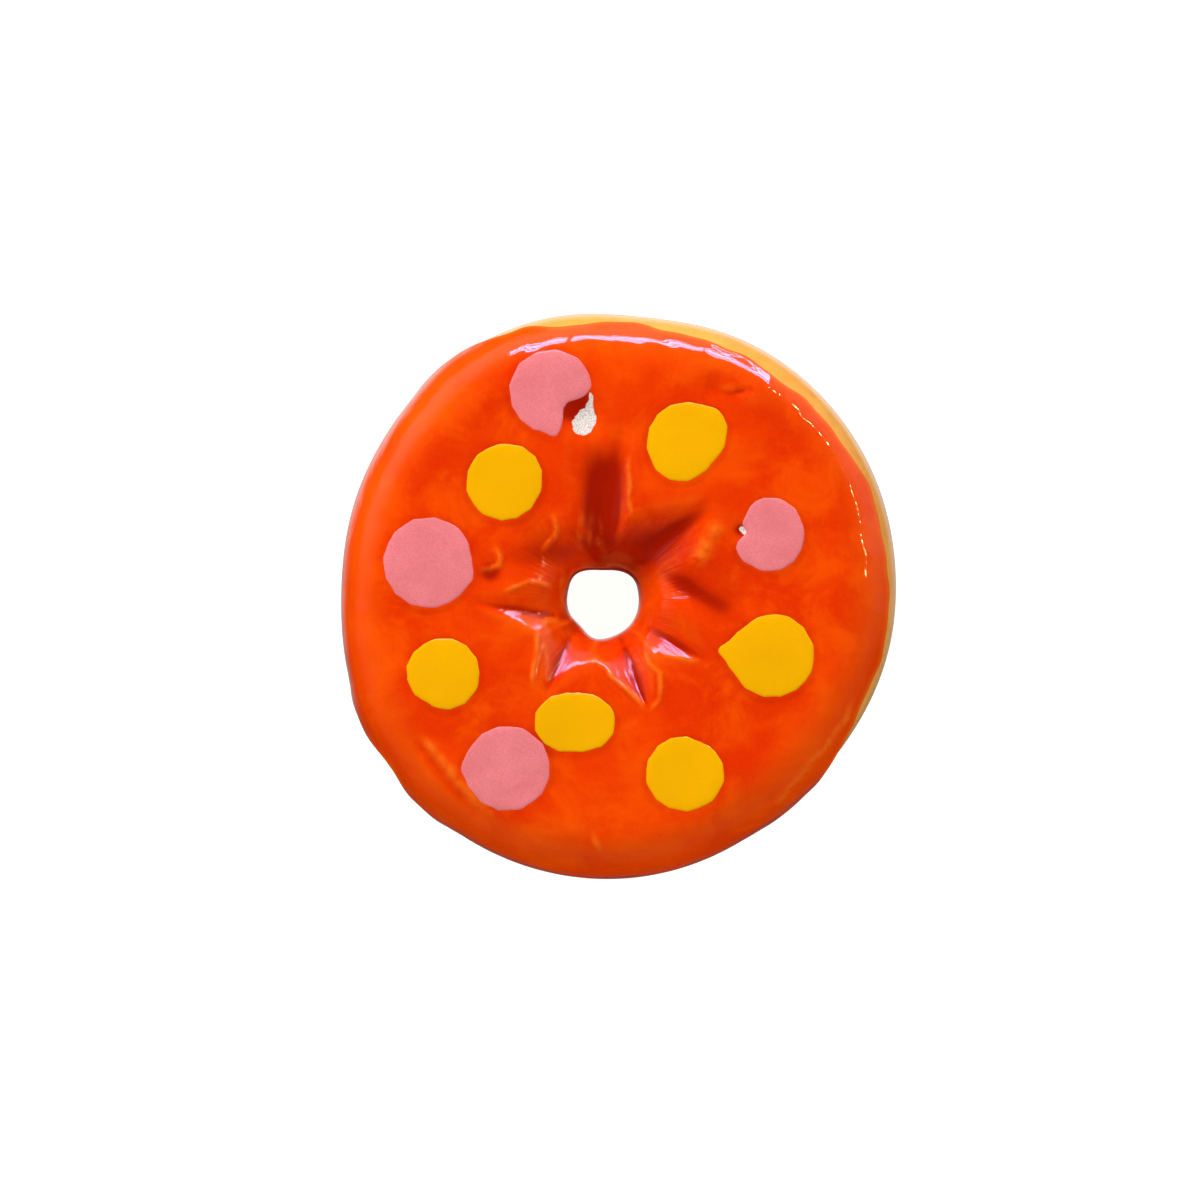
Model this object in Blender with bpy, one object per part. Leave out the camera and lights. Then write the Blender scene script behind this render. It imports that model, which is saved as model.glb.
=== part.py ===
"""A doughnut in glazed ceramic: an orange glaze coat with ten raised dots over a dough-coloured body.

The piece lies on its flat base at z = 0. +Z is up through the hole and +Y is the side where the
coat stops short of the dough. Lengths are in metres and angles in degrees, counter-clockwise from +X.
"""

import math
from collections import namedtuple

import bmesh
import bpy
import numpy as np

MM = 0.001

# The whole piece.
MEAN_RADIUS = 50.7 * MM
HEIGHT = 31.0 * MM
WIDEST_HEIGHT = 13.0 * MM

# The outline bulges and dents: direction, rise, and half-spread in degrees.
OUTLINE_SWELLS = (
    (5, -0.4 * MM, 12),
    (55, 0.8 * MM, 22),
    (85, -0.9 * MM, 10),
    (115, 1.5 * MM, 22),
    (180, -0.8 * MM, 12),
    (230, 0.9 * MM, 35),
    (318, -2.4 * MM, 24),
)

# The hole, a little off the middle and squarish at its narrowest.
HOLE_X = -3.0 * MM
HOLE_Y = -0.8 * MM
HOLE_RADIUS = 6.4 * MM
HOLE_SWELLS = (
    (37, 0.4 * MM, 14),
    (90, -0.8 * MM, 20),
    (138, 0.5 * MM, 14),
    (225, -0.5 * MM, 14),
    (260, 0.4 * MM, 14),
)
THROAT_DROP = 6.5 * MM
THROAT_WIDTH = 2.6 * MM
WALL_DROP = 6.0 * MM
WALL_WIDTH = 0.45 * MM
HOLE_FLARE = 6.5 * MM

# The round shoulder above the widest line and the corner below it.
SHOULDER_REACH = 12.0 * MM
SHOULDER_SQUARENESS = 2.8
CORNER_REACH = 10.0 * MM
CORNER_SQUARENESS = 2.2

# The coat ends in a lip. Its edge is given around the piece as a place on the side,
# from 0 at the top of the shoulder through 1 on the widest line to 2 on the base.
LIP = 0.7 * MM
COAT_EDGE = (
    (0, 0.60),
    (15, 0.53),
    (27, 0.45),
    (36, 0.38),
    (52, 0.37),
    (66, 0.41),
    (80, 0.47),
    (90, 0.53),
    (101, 0.46),
    (111, 0.60),
    (123, 0.80),
    (140, 1.08),
    (165, 1.22),
    (195, 1.10),
    (206, 0.85),
    (216, 0.68),
    (226, 0.88),
    (240, 1.14),
    (265, 1.25),
    (290, 1.15),
    (312, 0.92),
    (325, 0.68),
    (338, 0.57),
    (350, 0.66),
)

# The folds pressed round the hole. Each is a groove that opens from its tip towards the hole: the tip
# from the hole's middle, the heading of its floor, how wide it opens to the left and right of the
# heading, the slopes of its left and right walls, how far from the tip its floor starts, how fast the
# floor falls and how deep before it levels out, how soft its edges and its valley are, and how many
# degrees it may spread round the hole to either side of its tip.
Fold = namedtuple(
    "Fold", "tip_x tip_y heading left right left_slope right_slope start fall level edge valley sector"
)
FOLDS = (
    Fold(0.35 * MM, 128 * MM, 270, 2.2, 2.8, 0.90, 0.62, 97 * MM, 0.22, 2.1 * MM, 0.9 * MM, 1.2 * MM, 60),
    Fold(19.9 * MM, 17.8 * MM, 210, 38, 19, 0.52, 0.64, 0.0, 0.5, 9 * MM, 0.6 * MM, 0.7 * MM, 75),
    Fold(22.4 * MM, -1.6 * MM, 161, 19, 30, 0.32, 0.46, 0.0, 0.6, 9 * MM, 0.9 * MM, 0.8 * MM, 40),
    Fold(18.3 * MM, -10.6 * MM, 150, 24, 28, 0.56, 0.46, 0.0, 1.0, 9 * MM, 0.7 * MM, 0.5 * MM, 60),
    Fold(8.0 * MM, -19.4 * MM, 110, 24, 27, 0.70, 0.60, 0.0, 1.0, 9 * MM, 0.45 * MM, 0.5 * MM, 36),
    Fold(-10.5 * MM, -16.7 * MM, 62, 28, 22, 0.60, 0.60, 0.0, 1.0, 9 * MM, 0.8 * MM, 0.6 * MM, 36),
    Fold(-23.1 * MM, -0.3 * MM, 0, 20, 23, 0.30, 0.64, 0.0, 1.0, 9 * MM, 0.5 * MM, 0.5 * MM, 40),
    Fold(-18.6 * MM, 7.9 * MM, 340, 45, 20, 0.38, 0.24, 0.0, 0.6, 9 * MM, 0.9 * MM, 1.0 * MM, 75),
)
LEVEL_FALL = 0.06
FOLD_END_SLOPE = 1.4
FOLD_END_SOFTNESS = 1.2 * MM
FLOOR_SOFTNESS = 0.8 * MM

# Hand dents in the top: place, depth and half-spread.
DENTS = (
    (-23.1 * MM, 4.3 * MM, 0.5 * MM, 1.3 * MM),
    (-5.9 * MM, 32.4 * MM, 0.8 * MM, 2.3 * MM),
    (22.9 * MM, 11.6 * MM, 0.5 * MM, 1.3 * MM),
    (16.5 * MM, 38.2 * MM, 0.6 * MM, 2.0 * MM),
    (20.5 * MM, 37.2 * MM, 0.6 * MM, 2.0 * MM),
)

# The dots: colour, middle, radius, lengthening along X, then swells of the rim as for the outline.
Dot = namedtuple("Dot", "colour x y radius stretch swells")
DOT_RISE = 0.6 * MM
DOT_ROOT = 1.4 * MM
DOTS = (
    Dot("pink", -12.9 * MM, 37.7 * MM, 7.3 * MM, 0.0, ((318, -3.0 * MM, 22), (255, 0.8 * MM, 30))),
    Dot(
        "yellow", 12.2 * MM, 28.4 * MM, 7.1 * MM, 0.0,
        ((33, 1.2 * MM, 20), (240, 0.6 * MM, 25), (318, -0.8 * MM, 20)),
    ),
    Dot("yellow", -20.7 * MM, 21.0 * MM, 6.8 * MM, 0.0, ((45, 0.3 * MM, 30), (330, -0.3 * MM, 30))),
    Dot(
        "pink", 27.7 * MM, 11.1 * MM, 6.3 * MM, 0.0,
        ((180, -2.0 * MM, 12), (122, 0.9 * MM, 15), (215, 0.8 * MM, 18)),
    ),
    Dot("pink", -34.1 * MM, 6.6 * MM, 8.3 * MM, 0.0, ((4, -0.5 * MM, 12), (345, 0.4 * MM, 12))),
    Dot("yellow", 27.1 * MM, -10.4 * MM, 7.7 * MM, 0.0, ((180, 1.6 * MM, 14), (125, -0.6 * MM, 20))),
    Dot("yellow", -31.6 * MM, -13.7 * MM, 6.45 * MM, 0.0, ((165, 0.3 * MM, 20), (240, -0.5 * MM, 15))),
    Dot("yellow", -8.0 * MM, -22.3 * MM, 6.3 * MM, 0.15, ()),
    Dot("pink", -20.0 * MM, -30.7 * MM, 7.7 * MM, 0.0, ((180, 0.8 * MM, 10),)),
    Dot("yellow", 12.0 * MM, -31.7 * MM, 6.9 * MM, 0.0, ((60, -0.5 * MM, 20),)),
)

# How finely the solid is faceted.
AROUND = 96
TOP_STATIONS = 24
COAT_STATIONS = 7
SIDE_STATIONS = 7
BASE_STATIONS = 2
FLARE_STATIONS = 5
DOT_AROUND = 24
DOT_RINGS = 6

# Colours, roughness.
ORANGE = ((0.86, 0.05, 0.001), 0.08)
DOUGH = ((0.92, 0.45, 0.10), 0.12)
PINK = ((0.80, 0.25, 0.27), 0.15)
YELLOW = ((0.93, 0.48, 0.002), 0.12)


def swell(angle, base, swells):
    """A radius that rises or dips smoothly about each of the given directions (angle in radians)."""
    radius = np.full_like(angle, base)
    for direction, rise, spread in swells:
        away = (np.degrees(angle) - direction + 180.0) % 360.0 - 180.0
        radius += rise * np.exp(-0.5 * (away / spread) ** 2)
    return radius


def round_table(angle, table):
    """The value at an angle (radians) on the smooth closed curve through (degrees, value) pairs."""
    degrees = np.degrees(angle) % 360.0
    directions = np.array([pair[0] for pair in table], dtype=float)
    values = np.array([pair[1] for pair in table], dtype=float)
    after = np.searchsorted(directions, degrees, side="right") % len(table)
    before = (after - 1) % len(table)
    span = (directions[after] - directions[before]) % 360.0
    part = ((degrees - directions[before]) % 360.0) / span
    ease = part * part * (3.0 - 2.0 * part)
    return values[before] * (1.0 - ease) + values[after] * ease


def lower_of(a, b, softness):
    """The smaller of two heights, with the corner between them rounded."""
    overlap = np.maximum(softness - np.abs(a - b), 0.0)
    return np.minimum(a, b) - overlap**2 / (4.0 * softness)


def higher_of(a, b, softness):
    return -lower_of(-a, -b, softness)


def coat_edge(angle):
    return round_table(angle, COAT_EDGE)


def outline_radius(angle):
    """The coat's greatest radius. Where the dough shows past the coat, the dough keeps the outline."""
    bare = np.clip((1.1 - coat_edge(angle)) / 0.25, 0.0, 1.0)
    return swell(angle, MEAN_RADIUS, OUTLINE_SWELLS) + LIP * bare


def inside_edge(fold, x, y, opening):
    """How far a point lies inside an edge line of a fold. The opening is positive for the left edge."""
    edge = math.radians(fold.heading + opening)
    left_of = (y - fold.tip_y) * math.cos(edge) - (x - fold.tip_x) * math.sin(edge)
    return -left_of if opening > 0 else left_of


def fold_depth(x, y):
    """The height, zero or less, of the folded star at points measured from the hole's middle."""
    depth = np.zeros_like(x)
    for fold in FOLDS:
        left_wall = -fold.left_slope * inside_edge(fold, x, y, fold.left)
        right_wall = -fold.right_slope * inside_edge(fold, x, y, -fold.right)
        heading = math.radians(fold.heading)
        along = (x - fold.tip_x) * math.cos(heading) + (y - fold.tip_y) * math.sin(heading)
        groove = higher_of(left_wall, right_wall, fold.valley)
        run = along - fold.start
        floor = higher_of(-fold.fall * run, -fold.level - LEVEL_FALL * run, FLOOR_SOFTNESS)
        groove = higher_of(groove, floor, fold.valley)
        reach = math.hypot(fold.tip_x, fold.tip_y)
        out = (x * fold.tip_x + y * fold.tip_y) / reach
        aside = np.abs(x * fold.tip_y - y * fold.tip_x) / reach
        sector = math.radians(fold.sector)
        within = out * math.sin(sector) - aside * math.cos(sector)
        groove = higher_of(groove, -FOLD_END_SLOPE * within, FOLD_END_SOFTNESS)
        depth = lower_of(depth, groove, fold.edge)
    return depth


def top_height(x, y):
    """The height of the coat's upper face over a point of the plan."""
    inset = outline_radius(np.arctan2(y, x)) - np.hypot(x, y)
    out = np.clip(1.0 - inset / SHOULDER_REACH, 0.0, 1.0)
    rise = (1.0 - out**SHOULDER_SQUARENESS) ** (1.0 / SHOULDER_SQUARENESS)
    height = WIDEST_HEIGHT + (HEIGHT - WIDEST_HEIGHT) * rise
    from_x, from_y = x - HOLE_X, y - HOLE_Y
    angle = np.arctan2(from_y, from_x)
    away = np.maximum(np.hypot(from_x, from_y) - swell(angle, HOLE_RADIUS, HOLE_SWELLS), 0.0)
    height += fold_depth(from_x, from_y)
    height -= THROAT_DROP * np.exp(-away / THROAT_WIDTH) + WALL_DROP * np.exp(-away / WALL_WIDTH)
    for dent_x, dent_y, deep, spread in DENTS:
        height -= deep * np.exp(-0.5 * ((x - dent_x) ** 2 + (y - dent_y) ** 2) / spread**2)
    height += 0.25 * MM * np.sin(x / (9.0 * MM) + 0.7) * np.sin(y / (11.0 * MM) - 0.4)
    return height


def side_point(angle, place, sunk):
    """A point of the side at its place from 0 (top) to 2 (base), sunk below the coat's face."""
    upper = place <= 1.0
    quarter = np.where(upper, place, place - 1.0) * (math.pi / 2)
    squareness = np.where(upper, SHOULDER_SQUARENESS, CORNER_SQUARENESS)
    reach = np.where(upper, SHOULDER_REACH, CORNER_REACH)
    tall = np.where(upper, HEIGHT - WIDEST_HEIGHT, WIDEST_HEIGHT + LIP)
    out = np.where(upper, np.sin(quarter), np.cos(quarter)).clip(0.0, 1.0)
    high = np.where(upper, np.cos(quarter), np.sin(quarter)).clip(0.0, 1.0)
    out_part = out ** (2.0 / squareness)
    high_part = high ** (2.0 / squareness)
    normal_out = out_part ** (squareness - 1.0) / reach
    normal_high = high_part ** (squareness - 1.0) / tall
    length = np.hypot(normal_out, normal_high)
    direction = np.where(upper, 1.0, -1.0)
    radius = outline_radius(angle) - reach * (1.0 - out_part) - sunk * normal_out / length
    z = WIDEST_HEIGHT + direction * (tall * high_part - sunk * normal_high / length)
    return radius * np.cos(angle), radius * np.sin(angle), z


def hole_edge(angle, beyond=0.0):
    radius = swell(angle, HOLE_RADIUS, HOLE_SWELLS) + beyond
    return HOLE_X + radius * np.cos(angle), HOLE_Y + radius * np.sin(angle)


def section_rings():
    """The rings of points round the piece, from the hole over the top, down the side and back below."""
    angle = np.arange(AROUND) * (2.0 * math.pi / AROUND)
    edge = coat_edge(angle)
    neck_x, neck_y = hole_edge(angle)
    shoulder_x, shoulder_y, _ = side_point(angle, np.zeros(AROUND), 0.0)
    rings = []
    for part in np.linspace(0.0, 1.0, TOP_STATIONS) ** 1.35:
        x = neck_x + (shoulder_x - neck_x) * part
        y = neck_y + (shoulder_y - neck_y) * part
        rings.append((x, y, top_height(x, y)))
    neck_height = rings[0][2]
    for step in range(1, COAT_STATIONS + 1):
        x, y, z = side_point(angle, edge * step / COAT_STATIONS, 0.0)
        rings.append((x, y, top_height(x, y) if step < 3 else z))
    for step in range(SIDE_STATIONS + 1):
        place = edge + 0.03 + (1.97 - edge) * step / SIDE_STATIONS
        rings.append(side_point(angle, np.minimum(place, 2.0), LIP))
    base_x, base_y, _ = rings[-1]
    flare_x, flare_y = hole_edge(angle, HOLE_FLARE)
    for step in range(1, BASE_STATIONS + 1):
        part = step / (BASE_STATIONS + 1)
        x = base_x + (flare_x - base_x) * part
        y = base_y + (flare_y - base_y) * part
        rings.append((x, y, np.zeros(AROUND)))
    for step in range(FLARE_STATIONS):
        turn = step / FLARE_STATIONS * math.pi / 2
        x, y = hole_edge(angle, HOLE_FLARE * (1.0 - math.sin(turn)))
        rings.append((x, y, neck_height * (1.0 - math.cos(turn))))
    return np.array(rings)


def clear_scene():
    for old in list(bpy.data.objects):
        bpy.data.objects.remove(old, do_unlink=True)


def glaze_material(name, look):
    colour, roughness = look
    material = bpy.data.materials.new(name)
    material.use_nodes = True
    shader = material.node_tree.nodes["Principled BSDF"]
    shader.inputs["Base Color"].default_value = (*colour, 1.0)
    shader.inputs["Roughness"].default_value = roughness
    shader.inputs["Metallic"].default_value = 0.0
    return material


def new_collection(name):
    collection = bpy.data.collections.new(name)
    bpy.context.scene.collection.children.link(collection)
    return collection


def move_to(obj, collection):
    for old in list(obj.users_collection):
        old.objects.unlink(obj)
    collection.objects.link(obj)


def make_body(collection, materials):
    """The body with its coat: a torus whose rings are moved to the sections of the piece."""
    rings = section_rings()
    stations = len(rings)
    bpy.ops.mesh.primitive_torus_add(major_segments=AROUND, minor_segments=stations)
    body = bpy.context.object
    body.name = "doughnut"
    index = np.arange(AROUND * stations)
    station = (stations - index % stations) % stations
    points = rings[station, :, index // stations]
    body.data.vertices.foreach_set("co", points.astype(np.float32).ravel())
    body.data.materials.append(materials["dough"])
    body.data.materials.append(materials["orange"])
    last_coated = TOP_STATIONS + COAT_STATIONS
    for face in body.data.polygons:
        highest = max(station[corner] for corner in face.vertices)
        if highest < last_coated:
            face.material_index = 1
    body.data.update()
    move_to(body, collection)
    return body


def make_dot(name, dot, collection, materials):
    """A low dome on the coat: a sphere pressed flat, its rim drawn out and its skin laid on the top."""
    mesh = bpy.data.meshes.new(name)
    ball = bmesh.new()
    bmesh.ops.create_uvsphere(ball, u_segments=DOT_AROUND, v_segments=DOT_RINGS, radius=1.0)
    for vertex in ball.verts:
        out = min(math.hypot(vertex.co.x, vertex.co.y), 1.0)
        angle = np.array([math.atan2(vertex.co.y, vertex.co.x)])
        rim = swell(angle, dot.radius, dot.swells)[0] * (1.0 + dot.stretch * math.cos(2.0 * angle[0]))
        x = dot.x + math.cos(angle[0]) * rim * out
        y = dot.y + math.sin(angle[0]) * rim * out
        face = top_height(np.array([x]), np.array([y]))[0]
        above = DOT_RISE * (1.0 - 0.45 * out**4) if vertex.co.z > -0.1 else -DOT_ROOT
        vertex.co = (x, y, face + above)
    ball.to_mesh(mesh)
    ball.free()
    mesh.materials.append(materials[dot.colour])
    dot_object = bpy.data.objects.new(name, mesh)
    collection.objects.link(dot_object)
    return dot_object


def fuse(body, collection):
    """Joins the dots to the body, as one fired piece."""
    union = body.modifiers.new("dots", "BOOLEAN")
    union.operation = "UNION"
    union.operand_type = "COLLECTION"
    union.collection = collection
    union.solver = "EXACT"
    union.material_mode = "TRANSFER"
    bpy.context.view_layer.objects.active = body
    bpy.ops.object.modifier_apply(modifier=union.name)
    for dot in list(collection.objects):
        bpy.data.objects.remove(dot, do_unlink=True)
    bpy.data.collections.remove(collection)


def main():
    clear_scene()
    piece = new_collection("ceramic doughnut")
    dots = new_collection("dots")
    materials = {
        "dough": glaze_material("dough glaze", DOUGH),
        "orange": glaze_material("orange glaze", ORANGE),
        "pink": glaze_material("pink glaze", PINK),
        "yellow": glaze_material("yellow glaze", YELLOW),
    }
    body = make_body(piece, materials)
    for number, dot in enumerate(DOTS):
        make_dot(f"dot_{number}", dot, dots, materials)
    fuse(body, dots)
    body.data.shade_smooth()
    body.data.set_sharp_from_angle(angle=math.radians(40))


main()
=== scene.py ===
"""The looks of a glazed ceramic doughnut: dough-coloured body, orange coat, raised dots and stage.

Lengths are in metres, angles in degrees counter-clockwise from +X. The doughnut lies on its base at
z = 0 and is seen from straight above, with +Y towards the top of the picture.
"""

import math
from collections import namedtuple

import bpy
import numpy as np
from bpy.props import FloatProperty, FloatVectorProperty, IntProperty, PointerProperty
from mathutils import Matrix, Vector


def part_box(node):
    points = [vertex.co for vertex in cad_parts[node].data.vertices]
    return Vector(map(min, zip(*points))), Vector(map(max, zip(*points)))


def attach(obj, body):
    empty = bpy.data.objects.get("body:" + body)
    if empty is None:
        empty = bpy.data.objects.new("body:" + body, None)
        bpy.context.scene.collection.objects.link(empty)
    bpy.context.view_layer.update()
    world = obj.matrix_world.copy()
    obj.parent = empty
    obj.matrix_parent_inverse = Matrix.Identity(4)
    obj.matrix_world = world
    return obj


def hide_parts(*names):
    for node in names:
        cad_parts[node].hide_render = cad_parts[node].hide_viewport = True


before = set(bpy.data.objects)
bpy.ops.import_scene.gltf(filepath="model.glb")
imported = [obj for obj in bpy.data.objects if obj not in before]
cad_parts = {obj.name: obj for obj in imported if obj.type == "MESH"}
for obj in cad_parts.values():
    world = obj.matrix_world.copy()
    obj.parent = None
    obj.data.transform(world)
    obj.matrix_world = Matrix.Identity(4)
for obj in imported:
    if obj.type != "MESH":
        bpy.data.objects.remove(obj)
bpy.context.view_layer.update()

bl_info = {
    "name": "Glazed ceramic doughnut",
    "version": (1, 0, 0),
    "blender": (4, 5, 0),
    "location": "View3D > Sidebar > Doughnut",
    "description": "Makes a ceramic doughnut with a folded orange glaze coat and raised dots",
    "category": "Add Mesh",
}

NODE = "doughnut"
CAD_TOP = float(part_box(NODE)[1].z)

MM = 0.001

# The whole piece. A swell is a direction, a rise in millimetres and a spread in degrees.
DOTS_STAND = 0.8 * MM
HEIGHT = round(CAD_TOP - DOTS_STAND, 4)
WIDEST_HEIGHT = 13.0 * MM
MEAN_RADIUS = 50.7 * MM
OUTLINE_SWELLS = (
    (5, -0.4, 12),
    (55, 0.8, 22),
    (85, -0.9, 10),
    (115, 1.5, 22),
    (180, -0.8, 12),
    (230, 0.9, 35),
    (318, -2.4, 24),
)

# The hole.
HOLE_X = -3.0 * MM
HOLE_Y = -0.8 * MM
HOLE_RADIUS = 6.4 * MM
HOLE_SWELLS = ((37, 0.4, 14), (90, -0.8, 20), (138, 0.5, 14), (225, -0.5, 14), (260, 0.4, 14))
HOLE_FLARE = 6.5 * MM
HOLE_TOP_DROP = 0.4 * MM

# How the top sinks round the hole: a wide throat, then the turn into the wall.
THROAT_DROP = 6.5 * MM
THROAT_WIDTH = 2.6 * MM
WALL_DROP = 1.3 * MM
WALL_WIDTH = 0.16 * MM

# The shoulder above the widest line and the corner below it.
SHOULDER_REACH = 12.0 * MM
SHOULDER_SQUARENESS = 2.8
CORNER_REACH = 10.0 * MM
CORNER_SQUARENESS = 2.2

# The coat stands out of the body by its lip and reaches into it by its root. A bead gathers along its
# edge. The edge's place around the piece is 0 at the top of the shoulder and 1 on the widest line.
LIP = 0.7 * MM
ROOT = 0.5 * MM
EDGE_BEAD = 0.12 * MM
BEAD_SPREAD = 0.035
EDGE_ROUND = 0.028
COAT_EDGE = (
    (0, 0.52), (15, 0.49), (27, 0.48), (36, 0.42), (52, 0.39), (66, 0.41),
    (80, 0.47), (90, 0.53), (101, 0.46), (111, 0.60), (123, 0.80), (140, 1.08),
    (165, 1.22), (195, 1.10), (206, 0.85), (216, 0.68), (226, 0.88), (240, 1.14),
    (265, 1.25), (290, 1.15), (312, 0.92), (325, 0.68), (338, 0.53), (350, 0.57),
)
EDGE_RIPPLES = ((17, 0.012, 1.0), (29, 0.009, 2.3), (47, 0.006, 0.4))

# How the coat ends inside the hole: how far beyond its edge, and how far below the face.
COAT_NECK = ((0.8 * MM, 0.3 * MM), (0.5 * MM, 0.45 * MM), (0.15 * MM, 0.3 * MM))

# Painted light on the coat's shoulder: how much lighter orange is laid there, by direction.
SHOULDER_BEARINGS = (0, 20, 40, 120, 165, 200, 230, 330, 350, 360)
SHOULDER_PAINTED_LIGHT = (0.8, 1.0, 0.5, 0.9, 1.0, 0.4, 0.5, 0.5, 0.6, 0.8)

# The folds pressed round the hole, as in the solid, in millimetres and degrees from the hole's middle.
Fold = namedtuple(
    "Fold", "tip_x tip_y heading left right left_slope right_slope start fall level edge valley sector"
)
FOLDS = (
    Fold(0.35, 128, 270, 2.2, 2.8, 0.90, 0.62, 97, 0.22, 2.1, 1.5, 1.7, 60),
    Fold(19.9, 17.8, 210, 38, 19, 0.52, 0.64, 0.0, 0.5, 9, 1.0, 1.3, 75),
    Fold(22.4, -1.6, 161, 19, 30, 0.32, 0.46, 0.0, 0.6, 9, 0.9, 0.8, 40),
    Fold(18.3, -10.6, 150, 24, 28, 0.56, 0.46, 0.0, 1.0, 9, 0.7, 0.5, 60),
    Fold(8.0, -19.4, 110, 24, 27, 0.70, 0.60, 0.0, 1.0, 9, 0.45, 0.5, 36),
    Fold(-10.5, -16.7, 62, 28, 22, 0.60, 0.60, 0.0, 1.0, 9, 0.8, 0.6, 36),
    Fold(-23.1, -0.3, 0, 20, 23, 0.30, 0.64, 0.0, 1.0, 9, 0.5, 0.5, 40),
    Fold(-18.6, 7.9, 340, 45, 20, 0.38, 0.24, 0.0, 0.6, 9, 0.9, 1.0, 75),
)
LEVEL_FALL = 0.06
FOLD_END_SLOPE = 1.4
FOLD_END_SOFTNESS = 1.2
FLOOR_SOFTNESS = 0.8

# Hand dents in the top, in millimetres: x, y, depth and half-spread.
DENTS = (
    (-23.1, 4.3, 0.5, 1.3),
    (-6.3, 32.2, 1.2, 2.2),
    (21.3, 11.8, 0.5, 0.8),
    (16.5, 38.2, 0.6, 2.0),
    (20.5, 37.2, 0.4, 2.0),
)

# Ridges and creases pinched into the top, in millimetres: line, rise and half-width.
Crease = namedtuple("Crease", "line rise width")
CREASES = (
    Crease(
        ((-35.2, -25.0), (-33.9, -26.4), (-31.6, -29.1), (-29.0, -32.4), (-25.6, -36.2), (-22.5, -38.9)),
        0.30,
        0.6,
    ),
    Crease(((-36.6, -25.6), (-32.9, -30.1), (-30.2, -33.6), (-26.6, -37.6)), -0.3, 0.9),
    Crease(((17.6, 37.6), (19.8, 37.2), (22.1, 37.3)), 0.14, 0.4),
    Crease(((17.6, 36.7), (20.6, 36.4), (24.0, 37.2)), -0.25, 0.5),
    Crease(
        ((-11.1, 15.4), (-11.6, 14.3), (-11.3, 11.8), (-11.7, 10.8), (-12.7, 9.4), (-13.8, 8.1)),
        0.28,
        0.4,
    ),
    Crease(((-22.1, 9.4), (-21.4, 7.2), (-21.4, 5.8), (-23.1, 5.1), (-24.7, 4.9)), 0.28, 0.4),
    Crease(((-20.7, 0.9), (-18.7, 1.8), (-16.5, 2.5), (-14.4, 2.5), (-11.3, 1.8)), 0.22, 0.4),
    Crease(((17.8, 13.6), (16.0, 10.7), (14.6, 8.0), (13.5, 5.2)), 0.35, 1.0),
    Crease(((-5.0, 15.4), (-5.5, 8.5)), 0.07, 0.3),
    Crease(((-3.6, 14.6), (-3.2, 9.4)), 0.05, 0.25),
    Crease(((-4.4, 10.9), (-3.6, 9.8), (-2.6, 8.2)), 0.18, 0.4),
    Crease(((-14.7, -5.6), (-12.9, -4.3), (-11.5, -4.2), (-9.3, -4.7)), 0.35, 0.4),
    Crease(((-14.7, -6.0), (-14.6, -8.7), (-15.3, -12.3), (-15.6, -16.3)), 0.28, 0.35),
    Crease(((-2.3, -11.9), (-1.2, -14.5), (1.5, -16.3), (4.6, -19.9)), 0.30, 0.35),
    Crease(((5.2, -20.3), (7.0, -18.6), (7.3, -13.7), (5.2, -11.8), (4.2, -9.2)), 0.22, 0.35),
    Crease(((-6.6, -11.8), (-4.4, -11.4), (-2.3, -12.1)), 0.25, 0.5),
    Crease(((7.0, -10.5), (10.9, -10.7), (14.9, -11.6)), 0.18, 0.45),
    Crease(
        ((41.5, -18.5), (40.6, -21.2), (37.3, -25.5), (36.8, -26.9), (33.7, -29.7), (31.6, -32.4),
         (27.8, -37.1)),
        0.3,
        0.45,
    ),
    Crease(((-4.8, -41.8), (-4.3, -43.6), (-3.3, -45.5)), 0.20, 0.4),
    Crease(((-10.2, 4.9), (-10.3, 1.0), (-10.2, -2.7)), 0.20, 0.35),
    Crease(((-6.9, 15.6), (-7.2, 9.2)), 0.10, 0.4),
    Crease(((1.6, 25.0), (1.7, 18.0), (1.9, 14.2)), 0.25, 0.35),
)

# A ridge rises and falls unevenly along its line: wavelength in millimetres, share and phase.
RIDGE_WAVES = ((6.1, 0.22, 0.5), (2.7, 0.09, 2.1))
RIDGE_WANDER = 0.15

# Pale patches painted as glints, standing for a lamp's reflection in two dents: x, y and radius in
# millimetres, joined one to the next.
GLINT_PATCHES = (
    ((-6.6, 30.7, 1.95), (-5.9, 31.9, 1.75), (-5.5, 33.4, 0.85), (-5.2, 34.9, 0.4), (-5.1, 36.3, 0.2)),
    ((21.6, 12.2, 0.35), (22.2, 11.7, 0.5), (22.5, 11.1, 0.3)),
)

# Places painted darker to stand in for shade in the folds and in a dent: x, y and reach in millimetres,
# and amount.
PAINTED_SHADE_PATCHES = (
    (4.4, 8.6, 3.6, 0.22),
    (-3.5, 7.4, 3.6, 0.30),
    (-15.0, 9.6, 3.2, 0.22),
    (-3.1, 24.6, 2.8, 0.10),
    (-3.2, 21.0, 3.2, 0.18),
    (-3.6, 17.0, 3.2, 0.20),
    (-4.0, 13.0, 3.2, 0.20),
    (12.4, 3.4, 3.6, 0.28),
    (18.0, -0.8, 2.4, 0.22),
    (-22.8, 4.2, 1.6, 0.25),
    (-8.9, 32.6, 1.3, 0.35),
    (-8.2, 34.4, 1.3, 0.35),
    (-6.6, 35.8, 1.0, 0.35),
)

# Slow waves left in the glaze: direction in degrees, length and height in millimetres, and phase.
WAVES = (
    (20, 31, 0.10, 0.3),
    (75, 23, 0.08, 1.9),
    (130, 17, 0.05, 4.0),
    (165, 12, 0.03, 2.6),
    (50, 8, 0.015, 5.1),
    (110, 6, 0.010, 0.9),
)

# Streaks in the folds' glaze: how many around the hole, and waves for each metre along them.
STREAKS_AROUND = 19.0
STREAKS_ALONG = 130.0

# The broad unevenness of the top: height, lengths along X and Y, in millimetres, and phases.
ROLL = (0.25, 9.0, 11.0, 0.7, -0.4)

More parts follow.
